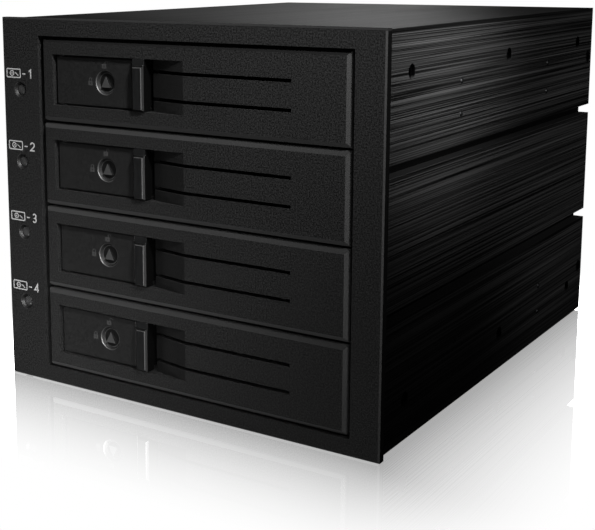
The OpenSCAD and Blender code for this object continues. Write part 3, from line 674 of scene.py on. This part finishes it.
def make_chip_parts(board_y):
    """Two columns of small chip parts, each with a plated end above and below it"""
    half = 0.6 * MM
    top_y = board_y + 0.7 * MM
    bodies, ends = bmesh.new(), bmesh.new()
    for row in range(14):
        z = (18 + 7.2 * row) * MM
        for x in (-26.0 * MM, -38.2 * MM + (row % 3) * 0.4 * MM):
            add_block(bodies, (x - half, board_y, z - half), (x + half, top_y, z + half))
            for end_z in (z - 0.8 * MM, z + 0.8 * MM):
                add_block(ends, (x - half, board_y, end_z - 0.2 * MM), (x + half, top_y, end_z + 0.2 * MM))
    new_piece("chip_parts", bodies, printed_ink("ceramic", 0.16), "root")
    new_piece("chip_ends", ends, MATERIALS["zinc"], "root")


def make_fan_label():
    """A plain silver label with a dark ring on the fan's fixed hub"""
    hub = middle("fan_rotor")
    place = Vector((hub.x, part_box("fan_frame")[1].y, hub.z))
    label, outer, inner = (circle((0.0, 0.0), radius, 48) for radius in (13.0, 11.6, 10.9))
    printed("fan_label", [label], place, 0.12, printed_ink("label_silver", 0.3), "root")
    printed("fan_label_ring", [outer, inner], place, 0.18, printed_ink("label_ink", 0.01), "root")


make_contacts()
make_capacitors(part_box("backplane_board")[1].y)
make_chip_parts(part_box("backplane_board")[1].y)
make_fan_label()


# ---- stage, light and camera ----

def make_floor():
    """A white floor that mirrors the object near its foot, with a black painted shadow under it"""
    half = 3.0
    floor_z = cad_low.z - 0.05 * MM
    corners = [(-half, -half, floor_z), (half, -half, floor_z), (half, half, floor_z), (-half, half, floor_z)]
    mesh = bpy.data.meshes.new("floor")
    mesh.from_pydata(corners, [], [(0, 1, 2, 3)])
    floor = bpy.data.objects.new("floor", mesh)
    bpy.context.scene.collection.objects.link(floor)

    s = Shader("floor")
    x, y, _ = s.split()
    from_middle_x = s.math("ABSOLUTE", x)
    from_middle_y = s.math("ABSOLUTE", s.math("SUBTRACT", y, (cad_low.y + cad_high.y) / 2))
    half_depth = (cad_high.y - cad_low.y) / 2
    out_x = s.math("MAXIMUM", s.math("SUBTRACT", from_middle_x, cad_high.x), 0.0)
    out_y = s.math("MAXIMUM", s.math("SUBTRACT", from_middle_y, half_depth), 0.0)
    away = s.math("SQRT", s.math("ADD", s.math("MULTIPLY", out_x, out_x), s.math("MULTIPLY", out_y, out_y)))
    near = s.remap(away, 0.0, 0.058, 1.0, 0.0)
    mirror = s.math("MULTIPLY", s.math("POWER", near, 1.6), 0.6)
    # painted shadow: the floor is coloured black under the case, a little inside its outline
    inset = 3 * MM
    clear = s.math("MAXIMUM", s.math("GREATER_THAN", from_middle_x, CASE_HIGH.x - inset),
                   s.math("GREATER_THAN", from_middle_y, half_depth - inset))

    pale = s.add("Emission", None, Strength=1.0)
    s.put(pale, "Color", s.blend(clear, grey(0.0), grey(1.0)))
    # the mirrored picture is lifted, so that the dark front's outlines show in it
    shine = s.add("BsdfGlossy", None, Roughness=0.02, Color=grey(6.0))
    matt = s.add("BsdfDiffuse", None, Color=grey(0.12))
    seen = s.mix_shaders(mirror, pale.outputs[0], shine.outputs[0])
    camera_ray = s.add("LightPath").outputs["Is Camera Ray"]
    floor.data.materials.append(s.finish(s.mix_shaders(camera_ray, matt.outputs[0], seen)))
    for ray in ("diffuse", "glossy", "transmission", "shadow"):
        setattr(floor, "visible_" + ray, False)
    floor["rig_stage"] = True
    return floor


def make_world():
    """White behind the object, and nearly dark for the light that falls on it"""
    world = bpy.data.worlds.new("studio")
    bpy.context.scene.world = world
    world.use_nodes = True
    tree = world.node_tree
    tree.nodes.clear()
    path = tree.nodes.new("ShaderNodeLightPath")
    seen = tree.nodes.new("ShaderNodeBackground")
    seen.inputs["Color"].default_value = grey(1.0)
    room = tree.nodes.new("ShaderNodeBackground")
    room.inputs["Color"].default_value = grey(0.005)
    mix = tree.nodes.new("ShaderNodeMixShader")
    tree.links.new(path.outputs["Is Camera Ray"], mix.inputs[0])
    tree.links.new(room.outputs[0], mix.inputs[1])
    tree.links.new(seen.outputs[0], mix.inputs[2])
    output = tree.nodes.new("ShaderNodeOutputWorld")
    tree.links.new(mix.outputs[0], output.inputs["Surface"])


def aim(light, place, target):
    light.location = place
    light.rotation_euler = (Vector(target) - Vector(place)).to_track_quat("-Z", "Y").to_euler()
    light.visible_camera = False
    bpy.context.scene.collection.objects.link(light)
    return light


def soft_light(name, place, target, size, power):
    """An area light that shines from one point of the frame to another"""
    data = bpy.data.lights.new(name, "AREA")
    data.shape = "RECTANGLE"
    data.size, data.size_y = size
    data.energy = power
    return aim(bpy.data.objects.new(name, data), place, target)


def spot_light(name, place, target, half_angle, radius, power):
    """A spot whose light fades from its middle to its edge"""
    data = bpy.data.lights.new(name, "SPOT")
    data.spot_size = math.radians(2 * half_angle)
    data.spot_blend = 1.0
    data.shadow_soft_size = radius
    data.energy = power
    return aim(bpy.data.objects.new(name, data), place, target)


def grade_across(light):
    """Lets an area light rise quickly from one edge to a peak and fall slowly to its other edge"""
    light.data.use_nodes = True
    tree = light.data.node_tree
    tree.nodes.clear()
    across = tree.nodes.new("ShaderNodeSeparateXYZ")
    ramp = tree.nodes.new("ShaderNodeValToRGB")
    ramp.color_ramp.interpolation = "B_SPLINE"
    stops = ((0.0, 0.0), (0.12, 0.45), (0.25, 1.0), (0.5, 0.42), (0.7, 0.12), (1.0, 0.0))
    while len(ramp.color_ramp.elements) < len(stops):
        ramp.color_ramp.elements.new(0.5)
    for element, (position, level) in zip(ramp.color_ramp.elements, stops):
        element.position = position
        element.color = grey(level)
    emission = tree.nodes.new("ShaderNodeEmission")
    output = tree.nodes.new("ShaderNodeOutputLight")
    tree.links.new(tree.nodes.new("ShaderNodeNewGeometry").outputs["Parametric"], across.inputs[0])
    tree.links.new(across.outputs["X"], ramp.inputs["Fac"])
    tree.links.new(ramp.outputs["Color"], emission.inputs["Color"])
    tree.links.new(emission.outputs[0], output.inputs["Surface"])


def shine_only_on(light, objects):
    receivers = bpy.data.collections.new(light.name + "_receivers")
    for one in objects:
        receivers.objects.link(one)
    light.light_linking.receiver_collection = receivers


def make_lights(floor):
    """Lights below the floor stand for the light that it throws up, and the floor itself doesn't stop them"""
    centre = (cad_low + cad_high) / 2
    case_pieces = [nodes[name] for name in ("case_shell", "rail_rivets", "side_threads", "rear_panel_screws")]
    other_pieces = [node for node in nodes.values() if node not in case_pieces]
    other_pieces += [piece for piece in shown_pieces() if "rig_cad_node" not in piece]

    def from_way(way, distance):
        return centre + Vector(way).normalized() * distance

    front = [
        soft_light("low_left", from_way((-0.78, -0.45, -0.42), 1.0), centre, (0.3, 0.3), 0.14),
        soft_light("right", from_way((0.76, -0.62, -0.2), 1.0), centre, (0.25, 0.4), 0.85),
        soft_light("top", from_way((0.15, -0.6, 0.78), 1.0), centre, (0.3, 0.3), 1.0),
        soft_light("below", from_way((-0.1, -0.7, -0.7), 1.6), centre, (0.45, 0.45), 1.5),
        soft_light("front", from_way((-0.3, -0.95, 0.1), 1.2), centre, (0.4, 0.4), 0.2),
    ]
    corner = Vector((0.05, 0.0, 0.2))
    front.append(spot_light("front_corner", corner + Vector((0.42, -0.25, 0.42)), corner, 11.3, 0.05, 50.0))
    foot = Vector((-0.062, 0.0, 0.012))
    front.append(spot_light("front_low", foot + Vector((0.45, -0.5, 0.1)), foot, 6.5, 0.05, 16.0))
    for light in front:
        shine_only_on(light, other_pieces)
    rear = soft_light("rear", (-0.3, 1.0, 0.45), (0.0, 0.2, 0.07), (0.8, 0.3), 9.0)
    shine_only_on(rear, [piece for piece in other_pieces if piece.name != "front_bezel"])

    on_trays = [piece for piece in other_pieces if not piece.name.startswith(("front_bezel", "bay_label"))]
    trays_out = Vector((0.0, -0.16, 0.065))
    pulled_out = spot_light("pulled_out", trays_out + Vector((0.4, -0.5, 0.5)), trays_out, 7, 0.05, 45.0)
    shine_only_on(pulled_out, on_trays)

    side = Vector((CASE_HIGH.x, 0.035, 0.14))
    sides = [spot_light(f"side_{angle}", side + Vector((0.6, -0.25, 0.2)), side, angle, 0.03, power)
             for angle, power in ((5.5, 17.0), (9, 2.2))]
    side_end = Vector((CASE_HIGH.x, 0.17, 0.085))
    sides.append(spot_light("side_rear", side_end + Vector((0.6, -0.1, 0.15)), side_end, 10, 0.03, 1.8))
    glow = soft_light("top_glow", (-1.2, 2.08, 0.35), (0.02, 0.1, cad_high.z), (0.95, 0.7), 2.5)
    grade_across(glow)
    sides.append(glow)
    sides.append(soft_light("far_left", (-1.2, 0.2, 0.4), centre, (0.7, 0.6), 3.0))
    for light in sides:
        shine_only_on(light, case_pieces)
    wall = soft_light("wall", (-1.2, 2.2, 0.9), (0.0, 0.0, 0.1), (6.0, 4.0), 140.0)
    shine_only_on(wall, [floor])


def make_camera():
    """A long lens to the right of the front and slightly above it, aimed beside the picture's centre"""
    data = bpy.data.cameras.new("camera")
    camera = bpy.data.objects.new("camera", data)
    bpy.context.scene.collection.objects.link(camera)
    camera.location = (0.22182, -0.30117, 0.14689)
    yaw, pitch, roll = math.radians(34.06), math.radians(9.51), math.radians(-0.19)
    turn = Matrix.Rotation(yaw, 4, "Z") @ Matrix.Rotation(math.pi / 2 - pitch, 4, "X")
    camera.rotation_euler = (turn @ Matrix.Rotation(roll, 4, "Z")).to_euler()
    data.sensor_width = 36.0
    data.lens = 71.65
    data.clip_start, data.clip_end = 0.01, 20.0
    # the picture's centre lies off the lens's axis; another view changes the clip, which ends the shift
    for name, shift in (("shift_x", 0.1274), ("shift_y", -0.1724)):
        driver = data.driver_add(name).driver
        driver.type = "SCRIPTED"
        clip = driver.variables.new()
        clip.name = "clip"
        clip.targets[0].id_type = "CAMERA"
        clip.targets[0].id = data
        clip.targets[0].data_path = "clip_end"
        driver.expression = f"{shift} if clip > 19.9 and clip < 20.1 else 0.0"
    bpy.context.scene.camera = camera


make_world()
make_lights(make_floor())
make_camera()
bpy.context.scene.view_settings.view_transform = "Standard"
